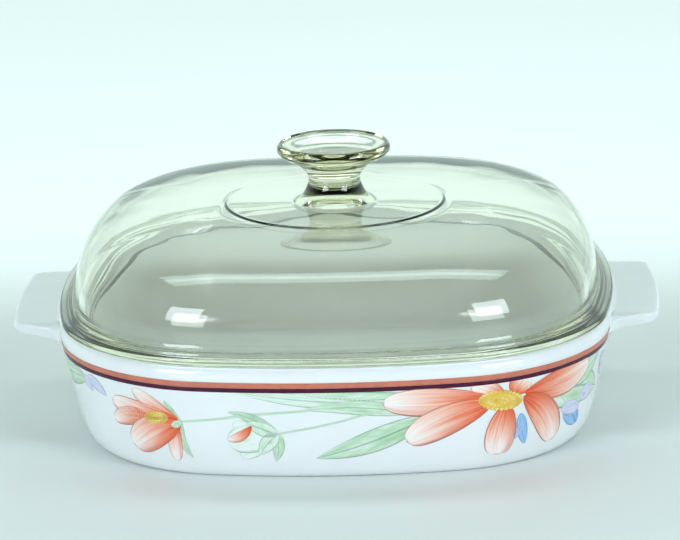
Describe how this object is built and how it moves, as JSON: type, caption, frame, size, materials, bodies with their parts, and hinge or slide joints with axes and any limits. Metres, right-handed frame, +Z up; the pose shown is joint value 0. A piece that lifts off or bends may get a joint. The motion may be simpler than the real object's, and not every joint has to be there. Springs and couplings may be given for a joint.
{
  "type": "covered casserole dish",
  "caption": "Square glass-ceramic baking dish with a lug handle on each side, enamel rim stripes and painted flowers, covered by a high domed glass lid with a flared glass knob.",
  "frame": {"origin": "centre of the foot, on the surface that the dish stands on", "axes": "+Z up, +X through the two lug handles, +Y towards the back"},
  "size_m": [0.2962, 0.2558, 0.1226],
  "materials": {
    "dish": "white opaque glass-ceramic, glossy fired surface",
    "coral_enamel": "fired coral enamel, glossy",
    "burgundy_enamel": "fired burgundy enamel, glossy",
    "lid_glass": "clear pressed glass with a faint green-yellow cast"
  },
  "bodies": {
    "dish": {"dish": "dish", "coral_stripe_front": "coral_enamel", "coral_stripe_back": "coral_enamel", "burgundy_stripe_front": "burgundy_enamel", "burgundy_stripe_back": "burgundy_enamel"},
    "lid": {"lid": "lid_glass", "lid_knob": "lid_glass"}
  },
  "joints": [
    {"name": "lid_lift", "type": "slide", "parent": "dish", "child": "lid", "axis": [0, 0, 1], "range_m": [0, 0.12]}
  ]
}
